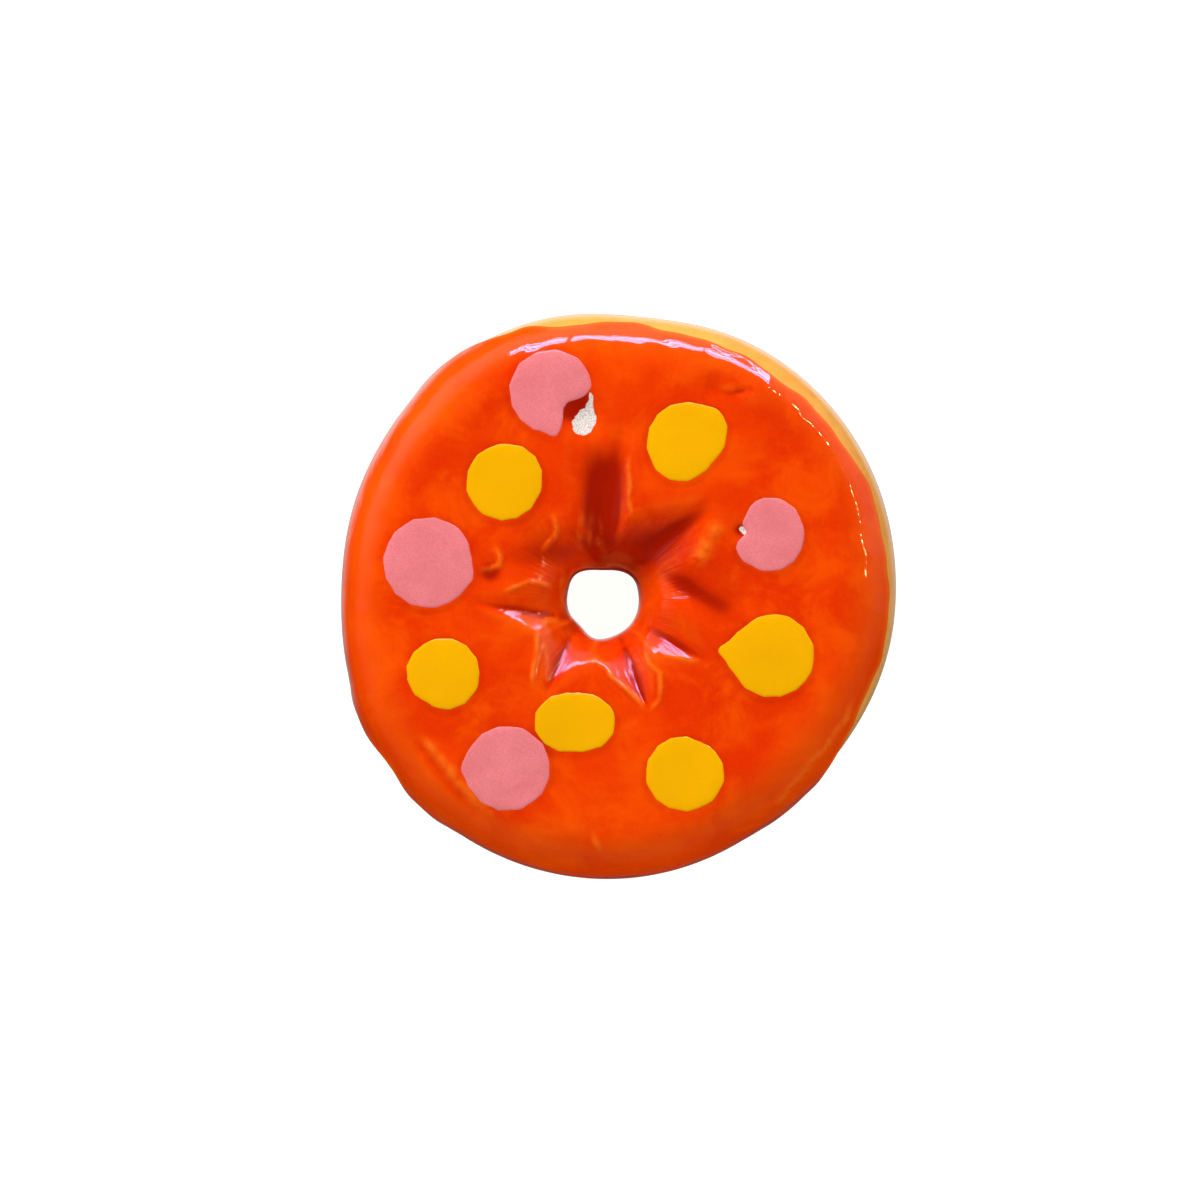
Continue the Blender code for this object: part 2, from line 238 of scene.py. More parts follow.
# The dots, in millimetres: colour, middle, radius, lengthening along X, and swells of the rim.
Dot = namedtuple("Dot", "colour x y radius stretch swells")
DOTS = (
    Dot("pink", -12.2, 36.6, 7.65, 0.0, ((334, -2.9, 15), (306, -3.2, 15), (276, 1.0, 9))),
    Dot("yellow", 11.75, 27.7, 7.1, 0.0, ((33, 1.2, 20), (240, 0.6, 25), (318, -0.8, 20))),
    Dot("yellow", -20.5, 20.4, 7.0, 0.0, ((45, 0.3, 30), (330, -0.3, 30))),
    Dot("pink", 26.7, 11.1, 6.55, -0.04, ((176, -1.9, 10), (145, -0.9, 14), (213, 0.5, 14))),
    Dot("pink", -34.0, 6.1, 8.3, 0.0, ((4, -0.5, 12), (345, 0.4, 12))),
    Dot("yellow", 27.1, -10.4, 7.7, 0.0, ((175, 1.3, 14), (175, 1.05, 5), (125, -0.4, 20))),
    Dot("yellow", -31.3, -13.7, 6.6, 0.0, ((165, 0.3, 20), (240, -0.5, 15))),
    Dot("yellow", -8.0, -22.3, 6.45, 0.15, ()),
    Dot("pink", -20.0, -30.5, 7.8, 0.0, ((180, 0.8, 10),)),
    Dot("yellow", 11.6, -31.4, 7.05, 0.02, ((60, -0.5, 20),)),
)
MOST_SWELLS = max(len(dot.swells) for dot in DOTS)
DOME_SQUARENESS = 12.0
RIM_SUNK = 0.12 * MM

# How finely the meshes are made.
COAT_AROUND = 560
COAT_TOP_RINGS = 118
COAT_SIDE_RINGS = 26
COAT_UNDER_RINGS = 12
DOUGH_AROUND = 320
DOUGH_TOP_RINGS = 70
DOUGH_SIDE_RINGS = 90
DOUGH_BASE_RINGS = 12
DOUGH_HOLE_RINGS = 22
RINGS_CROWD = 1.3
DOT_RINGS = 24
RING_CROWDING = 0.8

# The photograph's frame, in its pixels and in pixels for each metre.
PHOTO_SIDE = 1200
PHOTO_CENTRE_X = 619.5
PHOTO_CENTRE_Y = 597.0
PHOTO_SCALE = 5530.0

# The stage, in metres. A window row is the height of its panes' middles and how tall they are.
FLOOR_SIDE = 6.0
AIM = (0.0, 0.0, 0.02)
WINDOW_AWAY = 1.0
WINDOW_COLUMNS = (-0.29, 0.10, 0.49)
WINDOW_ROWS = ((0.50, 0.03), (0.62, 0.08), (0.71, 0.03), (0.80, 0.05))
PANE_WIDTH = 0.35
LAMPS = 9
LAMP_AWAY = 1.2
LAMP_FIRST_BEARING = 2.0
LAMP_BEARING_STEP = 6.5
LAMP_SLANT = 52.0
LAMP_SLANT_STEP = 1.2
LAMP_TALL = 0.02


def swell(angle, base, swells):
    """A radius that rises or dips smoothly about each of the given directions (angle in radians)."""
    radius = np.full_like(angle, base)
    for direction, rise, spread in swells:
        away = (np.degrees(angle) - direction + 180.0) % 360.0 - 180.0
        radius += rise * MM * np.exp(-0.5 * (away / spread) ** 2)
    return radius


def round_table(angle, table):
    """The value at an angle (radians) on the smooth closed curve through (degrees, value) pairs."""
    degrees = np.degrees(angle) % 360.0
    directions = np.array([pair[0] for pair in table], dtype=float)
    values = np.array([pair[1] for pair in table], dtype=float)
    after = np.searchsorted(directions, degrees, side="right") % len(table)
    before = (after - 1) % len(table)
    span = (directions[after] - directions[before]) % 360.0
    part = ((degrees - directions[before]) % 360.0) / span
    ease = part * part * (3.0 - 2.0 * part)
    return values[before] * (1.0 - ease) + values[after] * ease


def lower_of(a, b, softness):
    """The smaller of two heights, with the corner between them rounded."""
    overlap = np.maximum(softness - np.abs(a - b), 0.0)
    return np.minimum(a, b) - overlap**2 / (4.0 * softness)


def higher_of(a, b, softness):
    """The greater of two heights, with the corner between them rounded."""
    return -lower_of(-a, -b, softness)


def coat_edge(angle):
    """The place on the side where the coat ends."""
    return round_table(angle, COAT_EDGE)


def outline_radius(angle):
    """The coat's greatest radius. Where the dough shows past the coat, the dough keeps the outline."""
    bare = np.clip((1.1 - coat_edge(angle)) / 0.25, 0.0, 1.0)
    return swell(angle, MEAN_RADIUS, OUTLINE_SWELLS) + LIP * bare


def hole_edge(angle, beyond=0.0):
    """The plan of the hole's edge, or of a line that lies beyond it."""
    radius = swell(angle, HOLE_RADIUS, HOLE_SWELLS) + beyond
    return HOLE_X + radius * np.cos(angle), HOLE_Y + radius * np.sin(angle)


def inside_edge(fold, x, y, opening):
    """How far a point lies inside an edge line of a fold. The opening is positive for the left edge."""
    edge = math.radians(fold.heading + opening)
    left_of = (y - fold.tip_y) * math.cos(edge) - (x - fold.tip_x) * math.sin(edge)
    return -left_of if opening > 0 else left_of


def fold_depth(x, y):
    """The height, zero or less, of the folded star at points measured from the hole's middle."""
    x, y = x / MM, y / MM
    depth = np.zeros_like(x)
    for fold in FOLDS:
        left_wall = -fold.left_slope * inside_edge(fold, x, y, fold.left)
        right_wall = -fold.right_slope * inside_edge(fold, x, y, -fold.right)
        groove = higher_of(left_wall, right_wall, fold.valley)
        heading = math.radians(fold.heading)
        along = (x - fold.tip_x) * math.cos(heading) + (y - fold.tip_y) * math.sin(heading)
        run = along - fold.start
        floor = higher_of(-fold.fall * run, -fold.level - LEVEL_FALL * run, FLOOR_SOFTNESS)
        groove = higher_of(groove, floor, fold.valley)
        reach = math.hypot(fold.tip_x, fold.tip_y)
        out = (x * fold.tip_x + y * fold.tip_y) / reach
        aside = np.abs(x * fold.tip_y - y * fold.tip_x) / reach
        sector = math.radians(fold.sector)
        within = out * math.sin(sector) - aside * math.cos(sector)
        groove = higher_of(groove, -FOLD_END_SLOPE * within, FOLD_END_SOFTNESS)
        depth = lower_of(depth, groove, fold.edge)
    return depth * MM


def crease_height(x, y):
    """The ridges and creases, and how near a ridge's line each point is, from 0 to 1."""
    height = np.zeros_like(x)
    ridge = np.zeros_like(x)
    x = x + RIDGE_WANDER * MM * np.sin(y / (0.9 * MM) + 1.0) * np.sin(x / (1.7 * MM))
    y = y + RIDGE_WANDER * MM * np.sin(x / (1.1 * MM) + 0.3) * np.sin(y / (1.5 * MM))
    for number, crease in enumerate(CREASES):
        line = np.array(crease.line) * MM
        lengths = np.hypot(*np.diff(line, axis=0).T)
        nearest = np.full_like(x, 1.0)
        along = np.zeros_like(x)
        start = 0.0
        for (from_x, from_y), (to_x, to_y), length in zip(line[:-1], line[1:], lengths):
            way_x, way_y = (to_x - from_x) / length, (to_y - from_y) / length
            run = np.clip((x - from_x) * way_x + (y - from_y) * way_y, 0.0, length)
            away = np.hypot(x - from_x - run * way_x, y - from_y - run * way_y)
            closer = away < nearest
            nearest = np.where(closer, away, nearest)
            along = np.where(closer, start + run, along)
            start += length
        end = np.minimum(along, start - along) / MM
        uneven = np.ones_like(x)
        for length, share, phase in RIDGE_WAVES:
            uneven += share * np.sin(2.0 * math.pi * along / (length * MM) + phase + number)
        fade = 0.1 + 0.9 * np.clip(end / 2.0, 0.0, 1.0)
        shape = uneven * fade * np.exp(-0.5 * (nearest / (crease.width * MM)) ** 2)
        height += crease.rise * MM * shape
        if crease.rise > 0.0:
            ridge = np.maximum(ridge, shape * min(1.0, crease.rise / 0.28))
    return height, np.clip(ridge, 0.0, 1.0)


def bare_distance(x, y):
    """How far in millimetres points lie outside the pale patches painted as glints."""
    nearest = np.full_like(x, 1000.0)
    for patch in GLINT_PATCHES:
        for (from_x, from_y, from_radius), (to_x, to_y, to_radius) in zip(patch[:-1], patch[1:]):
            way_x, way_y = to_x - from_x, to_y - from_y
            off_x, off_y = x / MM - from_x, y / MM - from_y
            part = np.clip((off_x * way_x + off_y * way_y) / (way_x**2 + way_y**2), 0.0, 1.0)
            away = np.hypot(off_x - part * way_x, off_y - part * way_y)
            nearest = np.minimum(nearest, away - from_radius - part * (to_radius - from_radius))
    return nearest


def top_height(x, y):
    """The height of the coat's upper face over a point of the plan."""
    inset = outline_radius(np.arctan2(y, x)) - np.hypot(x, y)
    out = np.clip(1.0 - inset / SHOULDER_REACH, 0.0, 1.0)
    rise = (1.0 - out**SHOULDER_SQUARENESS) ** (1.0 / SHOULDER_SQUARENESS)
    height = WIDEST_HEIGHT + (HEIGHT - WIDEST_HEIGHT) * rise
    from_x, from_y = x - HOLE_X, y - HOLE_Y
    angle = np.arctan2(from_y, from_x)
    away = np.maximum(np.hypot(from_x, from_y) - swell(angle, HOLE_RADIUS, HOLE_SWELLS), 0.0)
    height += fold_depth(from_x, from_y)
    height -= THROAT_DROP * np.exp(-away / THROAT_WIDTH) + WALL_DROP * np.exp(-away / WALL_WIDTH)
    for dent_x, dent_y, deep, spread in DENTS:
        dent_away = np.hypot(x / MM - dent_x, y / MM - dent_y) / spread
        height -= deep * MM * np.exp(-0.5 * dent_away**2)
    roll, long_x, long_y, phase_x, phase_y = ROLL
    height += roll * MM * np.sin(x / (long_x * MM) + phase_x) * np.sin(y / (long_y * MM) + phase_y)
    height += crease_height(x, y)[0]
    for direction, length, tall, phase in WAVES:
        along = x * math.cos(math.radians(direction)) + y * math.sin(math.radians(direction))
        height += tall * MM * np.sin(2.0 * math.pi * along / (length * MM) + phase) * rise
    return height


def side_point(angle, place, sunk):
    """A point of the side at its place from 0 (top) to 2 (base), sunk below the coat's face."""
    upper = place <= 1.0
    quarter = np.where(upper, place, place - 1.0) * (math.pi / 2)
    squareness = np.where(upper, SHOULDER_SQUARENESS, CORNER_SQUARENESS)
    reach = np.where(upper, SHOULDER_REACH, CORNER_REACH)
    tall = np.where(upper, HEIGHT - WIDEST_HEIGHT, WIDEST_HEIGHT + LIP)
    out = np.where(upper, np.sin(quarter), np.cos(quarter)).clip(0.0, 1.0)
    high = np.where(upper, np.cos(quarter), np.sin(quarter)).clip(0.0, 1.0)
    out_part = out ** (2.0 / squareness)
    high_part = high ** (2.0 / squareness)
    normal_out = out_part ** (squareness - 1.0) / reach
    normal_high = high_part ** (squareness - 1.0) / tall
    length = np.hypot(normal_out, normal_high)
    direction = np.where(upper, 1.0, -1.0)
    radius = outline_radius(angle) - reach * (1.0 - out_part) - sunk * normal_out / length
    z = WIDEST_HEIGHT + direction * (tall * high_part - sunk * normal_high / length)
    return radius * np.cos(angle), radius * np.sin(angle), z


def blended_side(angle, place, sunk):
    """The side with the top's waves carried over the shoulder, fading out down the side."""
    x, y, z = side_point(angle, place, sunk)
    top_x, top_y, plain = side_point(angle, np.minimum(place, 0.98), 0.0)
    waved = top_height(top_x, top_y) - plain
    fade = np.clip(1.0 - place / 0.7, 0.0, 1.0)
    return x, y, z + waved * fade * fade * (3.0 - 2.0 * fade)


def ring_of(x, y, z):
    """A ring's points. The height may be one number for the whole ring."""
    return np.stack(np.broadcast_arrays(x, y, z), axis=1)


def top_ring(inner, outer, part, sunk):
    """A ring part of the way from an inner to an outer line of the plan, sunk below the face."""
    x = inner[0] + (outer[0] - inner[0]) * part
    y = inner[1] + (outer[1] - inner[1]) * part
    return ring_of(x, y, top_height(x, y) - sunk)


def ring_mesh(name, rings):
    """A closed mesh of a ring-shaped piece from its rings of points, each ring all the way round."""
    around = rings[0].shape[0]
    stations = len(rings)
    points = np.concatenate(rings)
    station, step = np.meshgrid(np.arange(stations), np.arange(around), indexing="ij")
    next_station = (station + 1) % stations
    next_step = (step + 1) % around
    corners = (
        station * around + step,
        next_station * around + step,
        next_station * around + next_step,
        station * around + next_step,
    )
    faces = np.stack(corners, axis=-1).reshape(-1, 4)
    mesh = bpy.data.meshes.new(name)
    mesh.from_pydata(points.tolist(), [], faces.tolist())
    mesh.shade_smooth()
    mesh.update()
    return mesh


def add_piece(name, mesh, material):
    """Adds a piece on the root body with its finish, and hides the solid that it stands in for."""
    piece = bpy.data.objects.new(name, mesh)
    bpy.context.scene.collection.objects.link(piece)
    mesh.materials.clear()
    mesh.materials.append(material)
    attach(piece, "root")
    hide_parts(NODE)


def set_attribute(mesh, name, values):
    """Gives each point of a mesh a number that the materials read."""
    attribute = mesh.attributes.new(name, "FLOAT", "POINT")
    attribute.data.foreach_set("value", np.asarray(values, dtype=np.float32))


def rim_distance(dot, x, y):
    """How far points of the plan lie outside a dot's rim; negative inside."""
    from_x, from_y = x - dot.x * MM, y - dot.y * MM
    angle = np.arctan2(from_y, from_x)
    rim = swell(angle, dot.radius * MM, dot.swells) * (1.0 + dot.stretch * np.cos(2.0 * angle))
    return np.hypot(from_x, from_y) - rim


def hollow(x, y, radius):
    """How far the coat's face lies below the mean of its surroundings, at a given radius."""
    total = np.zeros_like(x)
    for turn in np.arange(8) * (math.pi / 4):
        total += top_height(x + radius * math.cos(turn), y + radius * math.sin(turn))
    return total / 8.0 - top_height(x, y)


# Materials.


def new_material(name):
    """An empty material: itself, its tree and its Principled shader."""
    material = bpy.data.materials.new(name)
    material.use_nodes = True
    tree = material.node_tree
    tree.nodes.clear()
    output = tree.nodes.new("ShaderNodeOutputMaterial")
    shader = tree.nodes.new("ShaderNodeBsdfPrincipled")
    tree.links.new(shader.outputs["BSDF"], output.inputs["Surface"])
    return material, tree, shader


def put(tree, socket, value):
    """Links a socket, or sets its value."""
    if isinstance(value, bpy.types.NodeSocket):
        tree.links.new(value, socket)
    else:
        socket.default_value = value


def new_node(tree, kind, inputs):
    """A node with the named inputs linked or set."""
    node = tree.nodes.new(kind)
    for name, value in inputs.items():
        put(tree, node.inputs[name], value)
    return node


def maths(tree, operation, *values):
    """The result of a Math node."""
    node = tree.nodes.new("ShaderNodeMath")
    node.operation = operation
    for socket, value in zip(node.inputs, values):
        put(tree, socket, value)
    return node.outputs[0]


def product(tree, first, *others):
    """The product of two or more values."""
    for other in others:
        first = maths(tree, "MULTIPLY", first, other)
    return first


def vector_of(tree, x, y, z):
    """A vector from its three parts."""
    return new_node(tree, "ShaderNodeCombineXYZ", {"X": x, "Y": y, "Z": z}).outputs[0]


def parts_of(tree, vector):
    """A vector's three parts."""
    return new_node(tree, "ShaderNodeSeparateXYZ", {"Vector": vector}).outputs


def object_place(tree):
    """The point's own place on the piece."""
    return tree.nodes.new("ShaderNodeTexCoord").outputs["Object"]


def noise(tree, scale, detail=2.0, roughness=0.5, distortion=0.0, vector=None):
    """A noise pattern, by default on the piece itself. The scale is in waves for each metre."""
    inputs = {
        "Vector": object_place(tree) if vector is None else vector,
        "Scale": scale,
        "Detail": detail,
        "Roughness": roughness,
        "Distortion": distortion,
    }
    return new_node(tree, "ShaderNodeTexNoise", inputs).outputs["Fac"]


def spread(tree, value, low, high, to_low=0.0, to_high=1.0):
    """Maps a value's range to another, held within its ends."""
    inputs = {"Value": value, "From Min": low, "From Max": high, "To Min": to_low, "To Max": to_high}
    node = new_node(tree, "ShaderNodeMapRange", inputs)
    node.interpolation_type = "SMOOTHSTEP"
    return node.outputs["Result"]


def mix(tree, part, first, second):
    """A colour part of the way from the first to the second."""
    node = tree.nodes.new("ShaderNodeMix")
    node.data_type = "RGBA"
    put(tree, node.inputs["Factor"], part)
    for socket, value in ((node.inputs[6], first), (node.inputs[7], second)):
        put(tree, socket, value if isinstance(value, bpy.types.NodeSocket) else (*value, 1.0))
    return node.outputs[2]


def attribute(tree, name):
    """The number that the points of a mesh hold under a name."""
    node = tree.nodes.new("ShaderNodeAttribute")
    node.attribute_name = name
    return node.outputs["Fac"]


def bump(tree, height, strength, distance):
    """A normal that makes the surface look as uneven as the height."""
    inputs = {"Height": height, "Strength": strength, "Distance": distance}
    return new_node(tree, "ShaderNodeBump", inputs).outputs["Normal"]


def glaze_gloss(shader, roughness, coat=1.0):
    """Soft colour under a clear mirror-like coat."""
    for name, value in (
        ("Roughness", roughness),
        ("IOR", 1.5),
        ("Specular IOR Level", 0.0),
        ("Coat Weight", coat),
        ("Coat Roughness", 0.03),
        ("Coat IOR", 1.5),
    ):
        shader.inputs[name].default_value = value


def fold_streaks(tree):
    """Fine streaks in the glaze that run towards the hole."""
    place = parts_of(tree, object_place(tree))
    x = maths(tree, "SUBTRACT", place[0], HOLE_X)
    y = maths(tree, "SUBTRACT", place[1], HOLE_Y)
    away = maths(tree, "SQRT", maths(tree, "MULTIPLY_ADD", x, x, product(tree, y, y)))
    turn_x = product(tree, maths(tree, "DIVIDE", x, away), STREAKS_AROUND)
    turn_y = product(tree, maths(tree, "DIVIDE", y, away), STREAKS_AROUND)
    pattern = vector_of(tree, turn_x, turn_y, product(tree, away, STREAKS_ALONG))
    streaks = noise(tree, 1.0, 3.0, 0.6, 0.3, pattern)
    return product(tree, streaks, spread(tree, away, 8.5 * MM, 12.0 * MM))


def orange_glaze(looks):
    """Orange glaze: red where it pools in the folds and where shade is painted in, lighter where it runs
    thin over ridges, with painted light on the shoulder and pale patches painted as glints.
    """
    material, tree, shader = new_material("orange glaze")
    clouds = spread(tree, noise(tree, 50.0, 4.0, 0.6, 0.4), 0.38, 0.62)
    washes = spread(tree, noise(tree, 105.0, 5.0, 0.65, 0.5), 0.42, 0.72)
    grain = spread(tree, noise(tree, 1800.0, 2.0, 0.6), 0.35, 0.65)
    base = mix(tree, clouds, looks.orange_deep, looks.orange)
    base = mix(tree, product(tree, washes, 0.75), base, looks.orange_light)
    base = mix(tree, product(tree, grain, 0.12), base, looks.orange_light)

    # Darker where glaze pools and where shade is painted in, lighter where it runs thin.
    pool_and_shade = attribute(tree, "pool_and_shade")
    base = mix(tree, spread(tree, pool_and_shade, 0.5, 1.0), base, looks.orange_pooled)
    base = mix(tree, spread(tree, pool_and_shade, 0.5, 0.0), base, looks.orange_thin)
    # Painted light: the shoulder band is laid over with lighter orange, its strength by direction.
    patchy = spread(tree, noise(tree, 90.0, 3.0), 0.2, 0.6, 0.3, 0.8)
    base = mix(tree, product(tree, attribute(tree, "shoulder"), patchy), base, looks.orange_light)
    base = mix(tree, product(tree, attribute(tree, "edge"), 0.7), base, looks.orange_thin)
    broken = spread(tree, noise(tree, 700.0, 2.0, 0.6), 0.3, 0.6, 0.15, 0.8)
    base = mix(tree, product(tree, attribute(tree, "ridge"), broken), base, looks.orange_thin)

    # Painted highlight: pale speckled patches in two dents stand for a lamp's glint.
    ragged = maths(tree, "MULTIPLY_ADD", noise(tree, 900.0, 3.0, 0.6), 0.9, attribute(tree, "bare"))
    glint_mask = spread(tree, ragged, 0.38, 0.52, 1.0, 0.0)
    speckle = spread(tree, noise(tree, 5200.0, 1.0, 0.5), 0.36, 0.5)
    base = mix(tree, glint_mask, base, mix(tree, speckle, looks.clay_speck, looks.clay))
    put(tree, shader.inputs["Base Color"], base)
    glaze_gloss(shader, 0.32)

    beads = product(tree, noise(tree, 1500.0, 2.0, 0.7), attribute(tree, "crest"))
    streaks = product(tree, fold_streaks(tree), attribute(tree, "star"))
    height = maths(tree, "MULTIPLY_ADD", beads, 2.5, noise(tree, 420.0, 2.0, 0.5))
    height = maths(tree, "MULTIPLY_ADD", streaks, 9.0, height)
    rolling = maths(tree, "MULTIPLY_ADD", noise(tree, 85.0, 2.0, 0.5, 0.4), 38.0, height)
    put(tree, shader.inputs["Normal"], bump(tree, height, 0.35, 0.06 * MM))
    put(tree, shader.inputs["Coat Normal"], bump(tree, rolling, 0.35, 0.06 * MM))
    return material


def dough_glaze(looks):
    """Dough-coloured glaze: golden tan with brown streaks, and browner towards the base as painted shade.
    """
    material, tree, shader = new_material("dough glaze")
    clouds = spread(tree, noise(tree, 90.0, 4.0, 0.6, 0.8), 0.3, 0.7)
    base = mix(tree, clouds, looks.dough, looks.dough_light)
    streaks = spread(tree, noise(tree, 340.0, 4.0, 0.65, 1.5), 0.5, 0.8)
    base = mix(tree, product(tree, streaks, 0.45), base, looks.dough_brown)
    # Painted shade: the body browns towards the base.
    high = parts_of(tree, object_place(tree))[2]
    ragged = maths(tree, "MULTIPLY_ADD", noise(tree, 120.0, 3.0, 0.6), 9.0 * MM, high)
    base = mix(tree, spread(tree, ragged, 3.5 * MM, 14.0 * MM, 0.75, 0.0), base, looks.dough_brown)
    specks = spread(tree, noise(tree, 1500.0, 2.0, 0.5), 0.66, 0.72, 0.0, 0.5)
    base = mix(tree, specks, base, looks.dough_brown)
    put(tree, shader.inputs["Base Color"], base)
    glaze_gloss(shader, 0.35)
    put(tree, shader.inputs["Normal"], bump(tree, noise(tree, 500.0, 3.0, 0.5), 0.4, 0.08 * MM))
    return material


def dot_glaze(name, colour, dark):
    """Thick opaque glaze of the dots, with a fine grain and soft cloudiness."""
    material, tree, shader = new_material(name)
    clouds = spread(tree, noise(tree, 160.0, 3.0, 0.6, 0.4), 0.3, 0.75)
    base = mix(tree, product(tree, clouds, 0.35), colour, dark)
    grain = spread(tree, noise(tree, 3300.0, 2.0, 0.7), 0.42, 0.68)
    base = mix(tree, product(tree, grain, 0.38), base, dark)
    put(tree, shader.inputs["Base Color"], base)
    glaze_gloss(shader, 0.3, 0.5)
    put(tree, shader.inputs["Normal"], bump(tree, noise(tree, 700.0, 3.0, 0.6), 0.3, 0.05 * MM))
    return material


def pit_glaze(looks):
    """The dark bottom of a pinhole."""
    # Painted shade of a pinhole: a dark colour for the shade inside it.
    material, tree, shader = new_material("pinhole")
    base = mix(tree, noise(tree, 4000.0), looks.pit, looks.orange_pooled)
    put(tree, shader.inputs["Base Color"], base)
    shader.inputs["Roughness"].default_value = 0.6
    return material


def floor_paint(looks):
    """Plain pale paint with a glow of its own, faintly patchy."""
    material, tree, shader = new_material("pale floor")
    patches = spread(tree, noise(tree, 6.0, 3.0), 0.3, 0.7)
    tone = mix(tree, product(tree, patches, 0.1), looks.floor, looks.floor_patch)
    put(tree, shader.inputs["Base Color"], tone)
    shader.inputs["Roughness"].default_value = 0.9
    shader.inputs["Specular IOR Level"].default_value = 0.1
    shader.inputs["Emission Color"].default_value = (1.0, 1.0, 1.0, 1.0)
    shader.inputs["Emission Strength"].default_value = looks.floor_glow
    return material


# Node trees for what repeats.


def new_geometry_tree(name, inputs):
    """A geometry tree with the named inputs, each given by its default or by its kind in words."""
    tree = bpy.data.node_groups.new(name, "GeometryNodeTree")
    tree.interface.new_socket("Geometry", in_out="INPUT", socket_type="NodeSocketGeometry")
    tree.interface.new_socket("Geometry", in_out="OUTPUT", socket_type="NodeSocketGeometry")
    for label, given in inputs.items():
        kind = given if isinstance(given, str) else type(given).__name__.capitalize()
        socket = tree.interface.new_socket(label, in_out="INPUT", socket_type=f"NodeSocket{kind}")
        if not isinstance(given, str):
            socket.default_value = given
    return tree, tree.nodes.new("NodeGroupInput").outputs, tree.nodes.new("NodeGroupOutput")


def close_tree(tree, value, result, geometry):
    """Ends a tree with smooth shading, Realize Instances and Set Material."""
    smooth = new_node(tree, "GeometryNodeSetShadeSmooth", {"Geometry": geometry})
    real = new_node(tree, "GeometryNodeRealizeInstances", {"Geometry": smooth.outputs["Geometry"]})
    inputs = {"Geometry": real.outputs["Geometry"], "Material": value["Material"]}
    paint = new_node(tree, "GeometryNodeSetMaterial", inputs)
    put(tree, result.inputs["Geometry"], paint.outputs["Geometry"])


def coat_geometry(tree, value):
    """The coat's mesh, from the object given as an input."""
    return new_node(tree, "GeometryNodeObjectInfo", {"Object": value["Coat"]}).outputs["Geometry"]


def dot_rim(tree, value, angle):
    """A dot's radius in a direction: swells, lengthening, straight cuts and a slight wobble."""
    rim = value["Radius"]
    for number in range(MOST_SWELLS):
        turn = maths(tree, "SUBTRACT", maths(tree, "DEGREES", angle), value[f"Direction {number}"])
        part = maths(tree, "DIVIDE", maths(tree, "WRAP", turn, 180.0, -180.0), value[f"Spread {number}"])
        fall = maths(tree, "EXPONENT", product(tree, part, part, -0.5))
        rim = maths(tree, "MULTIPLY_ADD", fall, value[f"Swell {number}"], rim)
    longer = product(tree, maths(tree, "COSINE", product(tree, angle, 2.0)), value["Stretch"])
    rim = product(tree, rim, maths(tree, "ADD", longer, 1.0))

    own_x = product(tree, value["Middle X"], 300.0)
    own_y = product(tree, value["Middle Y"], 200.0)
    once = maths(tree, "SINE", maths(tree, "ADD", own_x, angle))
    thrice = maths(tree, "SINE", maths(tree, "MULTIPLY_ADD", angle, 3.0, own_y))
    facet = maths(tree, "MULTIPLY_ADD", angle, value["Facets"], product(tree, once, 1.6))
    facet = maths(tree, "MULTIPLY_ADD", thrice, 1.1, facet)
    facet = maths(tree, "DIVIDE", maths(tree, "WRAP", facet, math.pi, -math.pi), math.pi)
    flat = maths(tree, "SUBTRACT", 1.0, product(tree, facet, facet))
    rim = product(tree, rim, maths(tree, "SUBTRACT", 1.0, product(tree, flat, value["Cut"])))

    way = vector_of(tree, maths(tree, "COSINE", angle), maths(tree, "SINE", angle), own_x)
    uneven = maths(tree, "SUBTRACT", noise(tree, 3.0, vector=way), 0.5)
    return maths(tree, "MULTIPLY_ADD", uneven, product(tree, value["Wobble"], 2.0), rim)


def dot_tree():
    """A dome of glaze with a hand-cut rim, laid on the coat under it."""
    inputs = {
        "Coat": "Object",
        "Material": "Material",
        "Middle X": 0.0,
        "Middle Y": 0.0,
        "Radius": 7.0 * MM,
        "Stretch": 0.0,
        "Rise": 0.4 * MM,
        "Wobble": 0.1 * MM,
        "Facets": 12,
        "Cut": 0.02,
        "Around": 120,
    }
    for number in range(MOST_SWELLS):
        inputs.update({f"Direction {number}": 0.0, f"Swell {number}": 0.0, f"Spread {number}": 20.0})
    tree, value, result = new_geometry_tree("glaze dot", inputs)

    size = {"Vertices": value["Around"], "Side Segments": DOT_RINGS}
    shape = {"Radius Top": 0.0, "Radius Bottom": 1.0, "Depth": 1.0}
    disc = new_node(tree, "GeometryNodeMeshCone", {**size, **shape})
    disc.fill_type = "NGON"
    across, along, _ = parts_of(tree, tree.nodes.new("GeometryNodeInputPosition").outputs[0])
    angle = maths(tree, "ARCTAN2", along, across)
    square = maths(tree, "ADD", product(tree, across, across), product(tree, along, along))
    out = maths(tree, "SQRT", square)

    reach = product(tree, dot_rim(tree, value, angle), maths(tree, "POWER", out, RING_CROWDING))
    x = maths(tree, "MULTIPLY_ADD", maths(tree, "COSINE", angle), reach, value["Middle X"])
    y = maths(tree, "MULTIPLY_ADD", maths(tree, "SINE", angle), reach, value["Middle Y"])
    ray = new_node(
        tree,
        "GeometryNodeRaycast",
        {
            "Target Geometry": coat_geometry(tree, value),
            "Source Position": vector_of(tree, x, y, 0.1),
            "Ray Direction": (0.0, 0.0, -1.0),
            "Ray Length": 0.2,
        },
    )
    ground = parts_of(tree, ray.outputs["Hit Position"])[2]
    fullness = maths(tree, "SUBTRACT", 1.0, maths(tree, "POWER", out, DOME_SQUARENESS))
    dome = maths(tree, "SQRT", maths(tree, "MAXIMUM", fullness, 0.0))
    lift = maths(tree, "MULTIPLY_ADD", dome, maths(tree, "ADD", value["Rise"], RIM_SUNK), -RIM_SUNK)
    place = vector_of(tree, x, y, maths(tree, "ADD", ground, lift))
    move = new_node(tree, "GeometryNodeSetPosition", {"Geometry": disc.outputs["Mesh"], "Position": place})
    close_tree(tree, value, result, move.outputs["Geometry"])
    return tree


